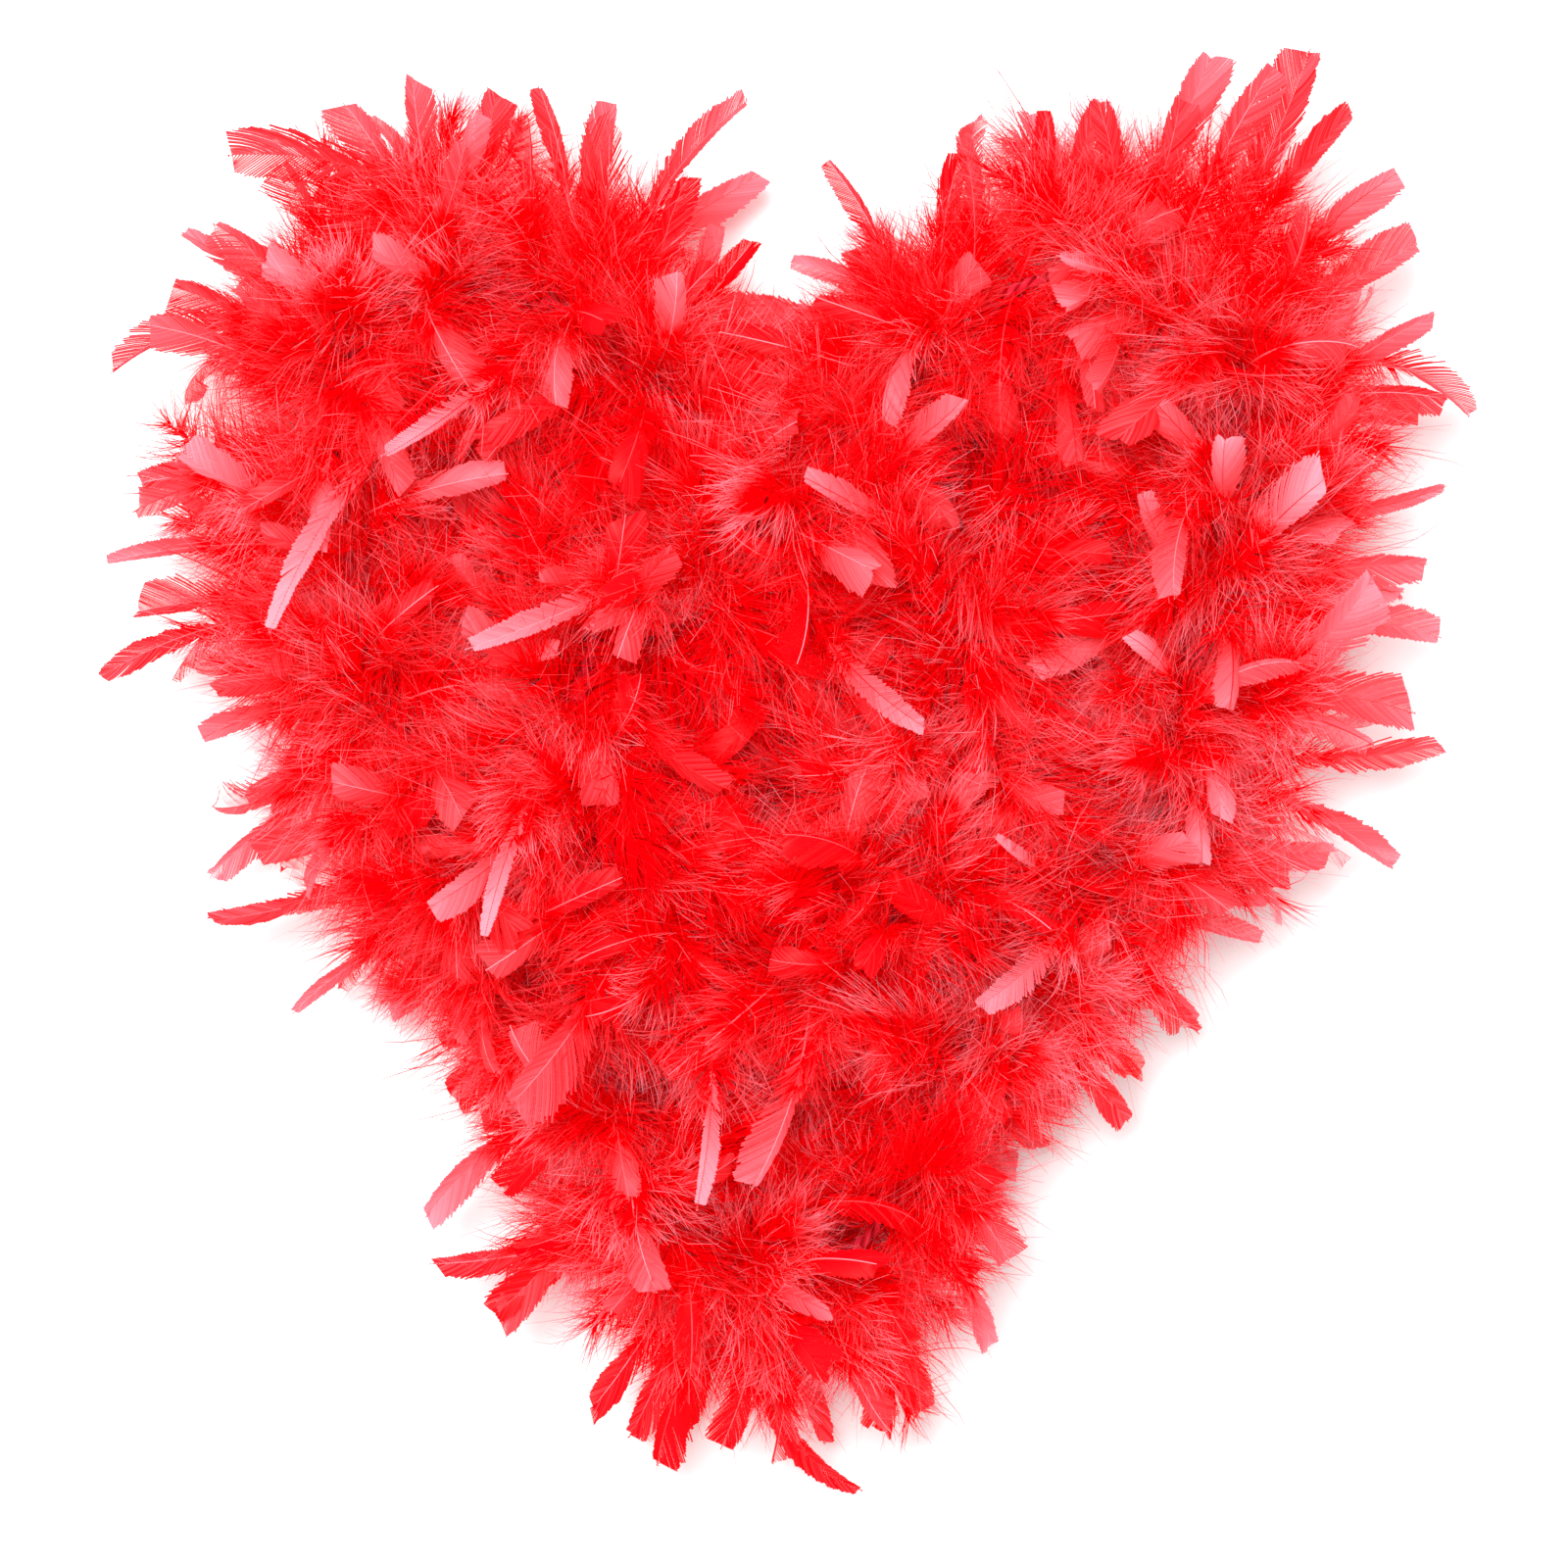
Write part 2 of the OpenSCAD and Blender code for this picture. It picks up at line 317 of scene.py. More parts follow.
class PlumageSettings(PropertyGroup):
    per_binding: IntProperty(
        name="Feathers per binding", description="Feathers tied in at each binding", default=8, min=3, max=12)
    fluffy_share: FloatProperty(
        name="Fluffy feathers", description="Share of the feathers that are all down, with no vane",
        default=0.34, min=0.0, max=1.0, subtype="FACTOR")
    length: FloatProperty(
        name="Feather length", description="Length of an average feather with a vane, along its shaft",
        default=0.078, min=0.04, max=0.12, unit="LENGTH")
    fluffy_length: FloatProperty(
        name="Fluffy length", description="Length of an average feather with no vane, along its shaft",
        default=0.06, min=0.03, max=0.1, unit="LENGTH")
    length_spread: FloatProperty(
        name="Length spread", description="How much the feathers differ in length",
        default=0.1, min=0.0, max=0.4, subtype="FACTOR")
    vane_half: FloatProperty(
        name="Vane half width", description="Width of the vane on each side of the shaft",
        default=0.0078, min=0.003, max=0.015, unit="LENGTH")
    down_length: FloatProperty(
        name="Down length", description="Length of the longest barbs of down",
        default=0.026, min=0.01, max=0.05, unit="LENGTH")
    down_width: FloatProperty(
        name="Down width", description="Width of a barb of down at its root",
        default=0.0006, min=0.0001, max=0.002, unit="LENGTH")
    down_barbs: IntProperty(
        name="Down barbs", description="Barbs of down on each side of the shaft",
        default=150, min=10, max=300)
    vane_barbs: IntProperty(
        name="Vane barbs", description="Barbs of the vane on each side of the shaft",
        default=50, min=10, max=100)
    seed: IntProperty(name="Seed", description="Seed of the feathers' differences", default=11, min=0)
    dye: FloatVectorProperty(
        name="Dye", description="Colour of a feather that is dyed right through",
        default=(0.96, 0.0, 0.006), subtype="COLOR")
    # Pale pink that the tips are mixed towards: painted glow and highlight, for light shining through and off
    # the thin tips
    pale_dye_and_tip_glow: FloatVectorProperty(
        name="Pale dye", description="Colour where the dye has taken less, towards the tips",
        default=(1.0, 0.36, 0.44), subtype="COLOR")


class CordSettings(PropertyGroup):
    diameter: FloatProperty(
        name="Cord", description="Thickness of the core cord",
        default=0.005, min=0.002, max=0.01, unit="LENGTH")
    ply_pitch: FloatProperty(
        name="Twist", description="Length of cord in which its two plies turn once round", default=0.013,
        min=0.005, max=0.05, unit="LENGTH")
    thread: FloatProperty(
        name="Thread", description="Thickness of the binding thread", default=0.0008, min=0.0002, max=0.002,
        unit="LENGTH")
    turns: IntProperty(
        name="Turns", description="Turns of thread in each binding", default=4, min=2, max=8)
    whipping: FloatProperty(
        name="Whipping", description="Length of the whipping at each end", default=0.014, min=0.005, max=0.03,
        unit="LENGTH")
    knot: FloatProperty(
        name="Knot", description="Width of the knot at each end", default=0.012, min=0.006, max=0.02,
        unit="LENGTH")
    loose_end: FloatProperty(
        name="Loose end", description="Length of cord left beyond each knot",
        default=0.022, min=0.005, max=0.04, unit="LENGTH")
    # The cord's and thread's colours: the darker in their grooves is painted shade, the lighter on their
    # crowns painted highlight
    colour: FloatVectorProperty(
        name="Cord colour", description="Colour of the cord in its grooves", default=(0.45, 0.004, 0.016),
        subtype="COLOR")
    crown_highlight_colour: FloatVectorProperty(
        name="Cord highlights", description="Colour of the cord on its crowns", default=(0.8, 0.03, 0.07),
        subtype="COLOR")


# ---------------------------------------------------------------- materials

def node_tree_of(name):
    """A fresh material and its node tree with only an output."""
    material = bpy.data.materials.new(name)
    material.use_nodes = True
    material.node_tree.nodes.clear()
    return material, material.node_tree


def dye_and_glow_group():
    """An even red dye, and a pale pink mixed in towards the tips: painted glow and highlight where light
    shines through and off the thin tips, stronger on some feathers than others.
    """
    if "Feather dye and painted tip glow" in bpy.data.node_groups:
        return bpy.data.node_groups["Feather dye and painted tip glow"]
    group = bpy.data.node_groups.new("Feather dye and painted tip glow", "ShaderNodeTree")
    for name, kind in (("Dye", "NodeSocketColor"), ("Pale dye", "NodeSocketColor"),
                       ("Root paleness", "NodeSocketFloat"), ("Tip paleness", "NodeSocketFloat"),
                       ("Lateness", "NodeSocketFloat")):
        group.interface.new_socket(name, in_out="INPUT", socket_type=kind)
    group.interface.new_socket("Colour", in_out="OUTPUT", socket_type="NodeSocketColor")
    nodes, links = group.nodes, group.links
    inputs, outputs = nodes.new("NodeGroupInput"), nodes.new("NodeGroupOutput")
    along, tone = nodes.new("ShaderNodeAttribute"), nodes.new("ShaderNodeAttribute")
    along.attribute_name, tone.attribute_name = "along", "tone"

    # Painted glow and highlight towards the tips, rising up each fibre by its along attribute
    late = nodes.new("ShaderNodeMath")
    late.operation = "POWER"
    links.new(along.outputs["Fac"], late.inputs[0])
    links.new(inputs.outputs["Lateness"], late.inputs[1])
    paleness = nodes.new("ShaderNodeMapRange")
    links.new(late.outputs[0], paleness.inputs["Value"])
    links.new(inputs.outputs["Root paleness"], paleness.inputs["To Min"])
    links.new(inputs.outputs["Tip paleness"], paleness.inputs["To Max"])
    paleness.inputs["From Min"].default_value = 0.12

    uneven = nodes.new("ShaderNodeMapRange")
    links.new(tone.outputs["Fac"], uneven.inputs["Value"])
    uneven.inputs["To Min"].default_value = -0.45
    uneven.inputs["To Max"].default_value = 1.9
    share = nodes.new("ShaderNodeMath")
    share.operation = "MULTIPLY"
    share.use_clamp = True
    links.new(uneven.outputs["Result"], share.inputs[0])
    links.new(paleness.outputs["Result"], share.inputs[1])

    mix = nodes.new("ShaderNodeMix")
    mix.data_type = "RGBA"
    links.new(share.outputs[0], mix.inputs["Factor"])
    links.new(inputs.outputs["Dye"], mix.inputs[6])
    links.new(inputs.outputs["Pale dye"], mix.inputs[7])
    links.new(mix.outputs[2], outputs.inputs["Colour"])
    return group


def dyed_material(name, dyes, paleness, lateness, roughness, gloss, see_through):
    """A dyed fibre, coloured as the group says with its painted glow and highlight, and letting some light
    through.
    """
    material, tree = node_tree_of(name)
    nodes, links = tree.nodes, tree.links
    dye = nodes.new("ShaderNodeGroup")
    dye.node_tree = dye_and_glow_group()
    dye.inputs["Dye"].default_value = (*dyes[0], 1.0)
    dye.inputs["Pale dye"].default_value = (*dyes[1], 1.0)
    dye.inputs["Root paleness"].default_value = paleness[0]
    dye.inputs["Tip paleness"].default_value = paleness[1]
    dye.inputs["Lateness"].default_value = lateness

    surface = nodes.new("ShaderNodeBsdfPrincipled")
    surface.inputs["Roughness"].default_value = roughness
    surface.inputs["Specular IOR Level"].default_value = gloss
    links.new(dye.outputs["Colour"], surface.inputs["Base Color"])
    through = nodes.new("ShaderNodeBsdfTranslucent")
    links.new(dye.outputs["Colour"], through.inputs["Color"])
    both = nodes.new("ShaderNodeMixShader")
    both.inputs[0].default_value = see_through
    links.new(surface.outputs[0], both.inputs[1])
    links.new(through.outputs[0], both.inputs[2])
    output = nodes.new("ShaderNodeOutputMaterial")
    links.new(both.outputs[0], output.inputs["Surface"])
    return material


def feather_materials():
    """Down, vane and shaft, in the order that a feather's faces name them."""
    if "Down" in bpy.data.materials:
        return [bpy.data.materials[name] for name in ("Down", "Vane", "Shaft")]
    s = bpy.context.scene.boa_plumage
    dyes = (s.dye, s.pale_dye_and_tip_glow)
    # Root and tip paleness of each: how much painted glow and highlight the fibres get, rising towards their
    # tips
    return [
        dyed_material("Down", dyes, (0.0, 1.0), 3.2, 0.9, 0.0, 0.55),
        dyed_material("Vane", dyes, (0.22, 0.85), 1.6, 0.42, 0.12, 0.4),
        dyed_material("Shaft", dyes, (0.05, 0.6), 1.0, 0.3, 0.4, 0.1),
    ]


def cord_material():
    if "Cord" in bpy.data.materials:
        return bpy.data.materials["Cord"]
    s = bpy.context.scene.boa_cord
    # Painted shade in the plies' grooves and painted highlight on their crowns
    return dyed_material("Cord", (s.colour, s.crown_highlight_colour), (0.0, 1.0), 1.5, 0.85, 0.1, 0.0)


def thread_material():
    if "Thread" in bpy.data.materials:
        return bpy.data.materials["Thread"]
    s = bpy.context.scene.boa_cord
    # Painted shade where the thread faces the cord and painted highlight on its crown
    return dyed_material("Thread", (s.colour, s.crown_highlight_colour), (0.2, 1.0), 1.0, 0.4, 0.5, 0.0)


# ---------------------------------------------------------------- feathers

LINE_STEPS = 20
BARB_STEPS = 4
TONES = 24
DOWN, VANE, SHAFT = 0, 1, 2
KINDS = 3
# The height below which the floor bends a shaft up, and how strongly
NEAR_FLOOR = 0.018
FLOOR_PUSH = 3.0
# A placed feather whose tip lies above this height arches over the plumage, others lie flatter
ON_TOP = 0.08
HIGH_ARCH, LOW_ARCH, FILLING_ARCH = 0.018, 0.006, 0.01


class Lines:
    """The shafts of a number of feathers: places and frames at even steps, and each one's sizes."""

    def __init__(self, places, ahead, across, lengths):
        self.places, self.ahead, self.across = places, ahead, across
        self.lengths = lengths
        self.count = len(lengths)

    def frames_at(self, s):
        """Places and frames at shares s of the length, (feathers, any) in and (feathers, any, 3) out."""
        x = np.clip(s, 0, 1) * LINE_STEPS
        low = np.minimum(x.astype(int), LINE_STEPS - 1)
        part = (x - low)[..., None]
        rows = np.arange(self.count)[:, None]
        found = [v[rows, low] * (1 - part) + v[rows, low + 1] * part
                 for v in (self.places, self.ahead, self.across)]
        past = (np.maximum(s - 1, 0) * self.lengths[:, None])[..., None]
        place = found[0] + found[1] * past
        ahead, across = unit(found[1]), unit(found[2])
        return place, ahead, across, np.cross(ahead, across)


def grow(start, ahead, across, lengths, curl, droop, level):
    """Feather shafts grown in steps. A shaft bends only about its own width, as a real one does:
    by its curl, by its weight and off the floor. It also rolls a little to lie level."""
    places, aheads, acrosses = [start], [ahead], [across]
    step = lengths / LINE_STEPS
    place = start
    for k in range(LINE_STEPS):
        face = np.cross(ahead, across)
        share = (k + 0.5) / LINE_STEPS
        floor_push = np.clip(1 - place[:, 2] / NEAR_FLOOR, 0, 1) * FLOOR_PUSH
        bend = (curl * 2 * share - droop * face[:, 2] * share + floor_push * face[:, 2]) / LINE_STEPS
        roll = level * across[:, 2] / LINE_STEPS
        bend, roll = bend[:, None], roll[:, None]
        ahead, face = (ahead * np.cos(bend) + face * np.sin(bend),
                       face * np.cos(bend) - ahead * np.sin(bend))
        across = unit(across * np.cos(roll) - np.sign(face[:, 2:]) * face * np.sin(roll))
        ahead = unit(ahead)
        across = unit(across - ahead * (across * ahead).sum(1, keepdims=True))
        place = place + ahead * step[:, None]
        places.append(place)
        aheads.append(ahead)
        acrosses.append(across)
    return Lines(*(np.stack(v, axis=1) for v in (places, aheads, acrosses)), lengths)


def turned(v, axis, angle):
    """Vectors turned about unit axes by angles."""
    c, s = np.cos(angle)[:, None], np.sin(angle)[:, None]
    return v * c + np.cross(axis, v) * s + axis * (axis * v).sum(1, keepdims=True) * (1 - c)


def stretch_lines(stretch, fluffy, rng):
    """The fluffy or the vaned feathers bound to one stretch of the core."""
    s = bpy.context.scene.boa_plumage
    bound = BINDINGS[stretch * BINDINGS_PER_STRETCH:(stretch + 1) * BINDINGS_PER_STRETCH]
    runs = np.repeat(bound, s.per_binding)
    n = len(runs)
    angle = rng.uniform(0, 2 * np.pi) + 2 * np.pi * np.arange(n) / s.per_binding
    angle += (np.arange(n) // s.per_binding) * 2.4 + rng.normal(0, 0.2, n)
    chosen = (rng.permutation(n) < round(n * s.fluffy_share)) == fluffy
    runs, angle = runs[chosen], angle[chosen]
    n = len(runs)
    runs = runs + rng.uniform(-0.008, 0.008, n)
    heading, side, over = CORE.frames(runs)
    out = side * np.cos(angle)[:, None] + over * np.sin(angle)[:, None]
    lean = rng.normal(radians(8), radians(24), n)
    ahead = unit(out * np.cos(lean)[:, None] + heading * np.sin(lean)[:, None])
    across = unit(np.cross(UP, ahead) + 1e-6 * heading)
    across = turned(across, ahead, rng.normal(0, radians(50), n))
    face = np.cross(ahead, across)
    wants_up = ahead[:, 2] < -0.25
    wrong = np.where(wants_up, face[:, 2] < 0, face[:, 2] > 0)
    across[wrong] *= -1
    lengths = s.fluffy_length if fluffy else s.length
    lengths = lengths * (1 + s.length_spread * rng.normal(0, 1, n).clip(-2, 1.4))
    inward = (ahead[:, :2] * (MIDDLE - CORE.at(runs)[:, :2])).sum(1) > 0
    lengths *= np.where(inward, TOWARDS_MIDDLE, CORE.by_route(runs, FULLNESS))
    lengths *= 1 - PRESSED_DOWN * np.clip(ahead[:, 2], 0, 1)
    tips = CORE.at(runs)[:, :2] + ahead[:, :2] * lengths[:, None]
    lengths[np.linalg.norm(tips - NOTCH, axis=1) < NOTCH_REACH] *= INTO_NOTCH
    lengths = np.minimum(lengths, room_ahead(CORE.at(runs), ahead))
    curl = rng.normal(0.9, 0.5, n)
    start = CORE.at(runs) + out * QUILL_START
    return grow(start, ahead, across, lengths, curl, droop=0.9, level=0.8 * rng.uniform(0, 1, n))


def room_ahead(start, ahead):
    """How far a straight feather can reach before it leaves the space that the plumage keeps to."""
    low, high = CAD_BOX[0] - TIP_ROOM[0], CAD_BOX[1] - TIP_ROOM[1]
    walls = np.where(ahead > 0, high, low)
    gap = walls - start
    pace = np.where(np.abs(ahead) < 1e-3, 1e-3 * np.sign(gap), ahead)
    return (gap / pace).min(axis=1)


def placed_lines(roots, tips, bows, rise, rng):
    """Feathers laid from the core to where their tips lie."""
    runs = np.array([CORE.nearest(root) for root in roots])
    tips = np.array(tips)
    core = CORE.at(runs)
    start = core + unit(tips - core) * QUILL_START
    span = tips - start
    left = unit(np.cross(UP, span))
    middle = (start + tips) / 2 + left * (np.array(bows) * np.linalg.norm(span, axis=1))[:, None] + UP * rise
    t = np.linspace(0, 1, LINE_STEPS + 1)[None, :, None]
    start, middle, end = (v[:, None] for v in (start, middle, tips))
    places = start * (1 - t)**2 + 2 * middle * t * (1 - t) + end * t**2
    ahead = unit(np.gradient(places, axis=1))
    across = unit(np.cross(UP, ahead))
    tilt = rng.normal(0, radians(22), len(tips))[:, None, None]
    across = across * np.cos(tilt) + np.cross(ahead, across) * np.sin(tilt)
    lengths = np.linalg.norm(np.diff(places, axis=1), axis=2).sum(1)
    return Lines(places, ahead, across, lengths)


def ribbons(lines, side, kind, root, turn, bend, reach, lift, lift_curl, width, tone, along, rng, end=None):
    """Thin strips that leave the shafts sideways and curve: one for each feather and barb.

    root is where each leaves the shaft, as a share of its length; turn its angle from the
    shaft there and bend how much that changes; reach its length; lift and lift_curl how far it
    rises off the feather's plane; along the colour's place at its root and its tip; end where
    and at what slope the feather's tip is cut off."""
    rows, cols = root.shape
    t = np.linspace(0, 1, BARB_STEPS + 1)
    heading = turn[..., None] + bend[..., None] * t[:-1]
    step = reach[..., None] / BARB_STEPS
    none = np.zeros((rows, cols, 1))
    forward = np.concatenate([none, np.cumsum(np.cos(heading) * step, axis=-1)], axis=-1)
    sideways = np.concatenate([none, np.cumsum(np.sin(heading) * step, axis=-1)], axis=-1)
    if end is not None:
        cut, slope = end
        room = (cut[:, None] - root) * lines.lengths[:, None]
        used = forward[..., -1] + slope[:, None] * side * sideways[..., -1]
        share = np.clip(room / np.maximum(used, 1e-6), 0.02, 1)[..., None]
        forward, sideways = forward * share, sideways * share
    rise = reach[..., None] * (lift[..., None] * t + lift_curl[..., None] * t**2)
    s = root[..., None] + forward / lines.lengths[:, None, None]
    frames = lines.frames_at(s.reshape(rows, -1))
    place, ahead, across, face = (v.reshape(rows, cols, BARB_STEPS + 1, 3) for v in frames)
    centre = place + across * (side * sideways)[..., None] + face * rise[..., None]
    along_barb = np.gradient(centre, axis=2)
    tilt = 0.1 if kind == VANE else 0.8
    facing = face + (ahead + across) * rng.normal(0, tilt, (rows, cols, 1, 1))
    flat = unit(np.cross(facing, along_barb) + 1e-9)
    taper = 1 - 0.85 * t if kind == DOWN else np.ones(BARB_STEPS + 1)
    half = flat * (width[..., None] * taper)[..., None] / 2
    verts = np.stack([centre - half, centre + half], axis=3).reshape(-1, 3)
    strips = rows * cols
    base = (np.arange(strips) * 2 * (BARB_STEPS + 1))[:, None, None]
    k = (2 * np.arange(BARB_STEPS))[None, :, None]
    faces = (base + k + np.array([0, 1, 3, 2])[None, None, :]).reshape(-1, 4)
    low, high = (np.broadcast_to(v, (rows, cols))[..., None] for v in along)
    along_point = np.repeat((low + (high - low) * t).reshape(-1), 2)
    tone_point = np.repeat(tone.reshape(-1), 2 * (BARB_STEPS + 1))
    edge = np.tile(np.array([0.0, 1.0]), strips * (BARB_STEPS + 1))
    return verts, faces, along_point, tone_point, edge, np.full(len(faces), kind)


def quantised(tone):
    return (np.clip(tone, 0, 1) * (TONES - 1)).round() / (TONES - 1)


def tufted(rng, shape, clump, shared, own):
    """Differences that neighbouring barbs mostly share, so that down stands in tufts."""
    rows, cols = shape
    groups = -(-cols // clump)
    common = np.repeat(rng.normal(0, shared, (rows, groups)), clump, axis=1)[:, :cols]
    return common + rng.normal(0, own, shape)


CLUMP = 9


def down_of(lines, first, last, count, reach_at, brush, pale, rng):
    """Down on both sides of the shafts between two shares of their length."""
    s = bpy.context.scene.boa_plumage
    parts = []
    shape = (lines.count, count)
    feather_tone = pale[:, None] + 0.85 * rng.uniform(0, 1, (lines.count, 1))**2.5
    in_clump = (np.arange(count) % CLUMP) / (CLUMP - 1) - 0.5
    for side in (-1.0, 1.0):
        part = (np.arange(count) + rng.uniform(0, 1, shape)) / count
        root = first + (last[:, None] - first) * part
        reach = s.down_length * reach_at(part) * np.exp(tufted(rng, shape, CLUMP, 0.12, 0.16))
        turn = radians(66) - radians(42) * part**1.5 + tufted(rng, shape, CLUMP, 0.14, 0.14)
        bend = -0.4 + 0.4 * in_clump + tufted(rng, shape, CLUMP, 0.4, 0.3)
        lift = tufted(rng, shape, CLUMP, 0.8 * brush, 0.5 * brush)
        lift_curl = tufted(rng, shape, CLUMP, 0.35, 0.25) - 0.5 * lift
        width = s.down_width * rng.uniform(0.7, 1.2, shape)
        tone = quantised(feather_tone + rng.uniform(0, 0.22, shape))
        # Painted tip glow rises up each barb, and starts higher on barbs near the feather's tip
        parts.append(ribbons(lines, side, DOWN, root, turn, bend, reach, lift, lift_curl, width, tone,
                             (0.3 * root, 1.0), rng))
    return parts


def vane_of(lines, half, feather_tone, start, rng):
    """The flat vane at the tip, of barbs that lie edge to edge: narrower on one side of the
    shaft, cupped, loose towards its root, and pointed or cut off straight at its tip."""
    s = bpy.context.scene.boa_plumage
    n = lines.count
    parts = []
    blunt = (rng.uniform(0, 1, n) < 0.5)[:, None]
    cut = 1 - rng.uniform(0.0, 0.03, n)
    slope = rng.normal(0, 0.4, n).clip(-0.6, 0.6)
    cup = rng.uniform(0.1, 0.6, n)[:, None]
    wide_side = rng.choice([-1.0, 1.0], n)
    split = rng.uniform(0.2, 1.4, n)[:, None]
    shape = (n, s.vane_barbs)
    share = (np.arange(s.vane_barbs) + 0.5)[None] / s.vane_barbs * np.ones(shape)
    gap = lines.lengths[:, None] * (1 - start[:, None]) / s.vane_barbs
    for side in (-1.0, 1.0):
        narrowing = np.where(wide_side == side, 1.15, rng.uniform(0.5, 0.9, n))[:, None]
        root = start[:, None] + (1 - start[:, None]) * share
        turn = radians(42) - radians(16) * share
        grown = 0.2 + 0.8 * np.sin(np.pi / 2 * np.clip(share / 0.6, 0, 1))
        tip = np.where(blunt, 1 - 0.7 * share**2.2, np.sqrt(np.clip(1 - share**1.7, 0, 1)))
        loose = 1 - np.clip(share / 0.5, 0, 1)
        ragged = 1 + (0.04 + 0.13 * loose) * rng.normal(0, 1, shape)
        reach = half[:, None] * narrowing * grown * tip / np.sin(turn) * ragged
        opened = 0.2 * (share > split) * side
        lift = 0.45 * cup + opened + rng.normal(0, 0.012, shape) + 0.25 * loose * rng.normal(0, 1, shape)
        lift_curl = np.broadcast_to(0.5 * cup, shape)
        width = gap * np.sin(turn) * rng.uniform(0.95, 1.15, shape)
        tone = quantised(feather_tone[:, None] + rng.uniform(-0.08, 0.08, shape))
        # Painted tip glow rises from the vane's root to its tip
        along = (0.9 * share, 0.9 * share + 0.1)
        parts.append(ribbons(lines, side, VANE, root, turn, -0.35 * turn, reach, lift, lift_curl, width, tone,
                             along, rng, end=(cut, slope)))
    return parts


def fluffy_feathers(lines, pale, rng):
    """Feathers that are all down, with a soft tip."""
    s = bpy.context.scene.boa_plumage
    down = down_of(lines, 0.03, np.ones(lines.count), s.down_barbs * 3 // 2,
                   lambda p: 0.55 + 0.5 * np.sin(np.pi * p**0.8) - 0.1 * p, 0.75, pale, rng)
    return down + [shaft_of(lines, 0.5, rng)]


def vaned_feathers(lines, half, tone, rng):
    """Feathers with down on their lower part and a vane at the tip."""
    s = bpy.context.scene.boa_plumage
    start = rng.uniform(0.36, 0.52, lines.count)
    down = down_of(lines, 0.03, start + 0.25 * (1 - start), s.down_barbs,
                   lambda p: 0.6 + 0.5 * np.sin(np.pi * p) - 0.25 * p, 0.6, 0.5 * tone, rng)
    return down + vane_of(lines, half, tone, start, rng) + [shaft_of(lines, 1.0, rng)]


def of_stretch(rows, stretch):
    """The rows whose first place is nearest to one stretch of the core."""
    gap = CORE.length / len(FEATHER_NODES)
    return [row for row in rows if min(int(CORE.nearest(row[0]) / gap), len(FEATHER_NODES) - 1) == stretch]


def placed_feathers(stretch, rng):
    """The feathers of one stretch that stand clear of the rest, lie on top of it or fill it."""
    parts = []
    for root, tip, half, bow, tone in of_stretch(PLACED, stretch):
        rise = HIGH_ARCH if tip[2] > ON_TOP else LOW_ARCH
        lines = placed_lines([root], [tip], [bow], rise, rng)
        parts += vaned_feathers(lines, np.array([half]), np.array([tone]), rng)
    for root, tip in of_stretch(FILLING, stretch):
        lines = placed_lines([root], [tip], [0.1], FILLING_ARCH, rng)
        parts += fluffy_feathers(lines, np.zeros(1), rng)
    return parts


def shaft_of(lines, thickness, rng):
    """The shafts: slim three-sided tubes that taper to the tip."""
    sides = 3
    t = np.linspace(0, 1, LINE_STEPS + 1)
    n = lines.count
    radius = 0.0006 * thickness * (1 - 0.72 * t)
    face = np.cross(lines.ahead, lines.across)
    turn = 2 * np.pi * np.arange(sides) / sides
    ring = (lines.across[:, :, None, :] * np.cos(turn)[None, None, :, None]
            + face[:, :, None, :] * np.sin(turn)[None, None, :, None])
    verts = (lines.places[:, :, None, :] + ring * radius[None, :, None, None]).reshape(-1, 3)
    base = (np.arange(n) * (LINE_STEPS + 1) * sides)[:, None, None, None]
    row = (np.arange(LINE_STEPS) * sides)[None, :, None, None]
    j = np.arange(sides)
    corner = np.stack([j, (j + 1) % sides, (j + 1) % sides + sides, j + sides], axis=1)[None, None]
    faces = (base + row + corner).reshape(-1, 4)
    # Painted tip glow rises along the shaft
    along = np.tile(np.repeat(t, sides), n)
    tone = np.repeat(quantised(rng.uniform(0, 1, n)), (LINE_STEPS + 1) * sides)
    edge = np.tile(np.array([0.0, 1.0, 0.5]), n * (LINE_STEPS + 1))
    return verts, faces, along, tone, edge, np.full(len(faces), SHAFT)


def strand(line, side, over, offset, phase, radius, sides, tone):
    """A tube that winds round a line at an offset from it, painted darkest where it faces the line: painted
    shade there, a painted highlight on its crown.
    """
    offset, radius = (np.broadcast_to(v, len(line))[:, None] for v in (offset, radius))
    out = side * np.cos(phase)[:, None] + over * np.sin(phase)[:, None]
    centre = line + out * offset
    ahead = unit(np.gradient(centre, axis=0))
    out = unit(out - ahead * (out * ahead).sum(1, keepdims=True))
    other = np.cross(ahead, out)
    turn = 2 * np.pi * np.arange(sides) / sides
    ring = out[:, None] * np.cos(turn)[None, :, None] + other[:, None] * np.sin(turn)[None, :, None]
    verts = (centre[:, None] + ring * radius[:, None]).reshape(-1, 3)
    j = np.arange(sides)
    corner = np.stack([j, (j + 1) % sides, (j + 1) % sides + sides, j + sides], axis=1)[None]
    walls = ((np.arange(len(line) - 1) * sides)[:, None, None] + corner).reshape(-1, 4)
    k = 2 * np.arange(sides // 2 - 1)
    cap = np.stack([0 * k, k + 1, k + 2, k + 3], axis=1)
    faces = np.vstack([walls, cap[:, ::-1], cap + (len(line) - 1) * sides])
    # Painted shade where the tube faces the line, painted highlight on its crown, read by the along attribute
    along = np.tile(0.5 + 0.5 * np.cos(turn), len(line))
    tones = np.full(len(verts), quantised(np.array(tone)))
    return verts, faces, along, tones, np.tile(np.arange(sides) % 2, len(line)), np.zeros(len(faces), int)


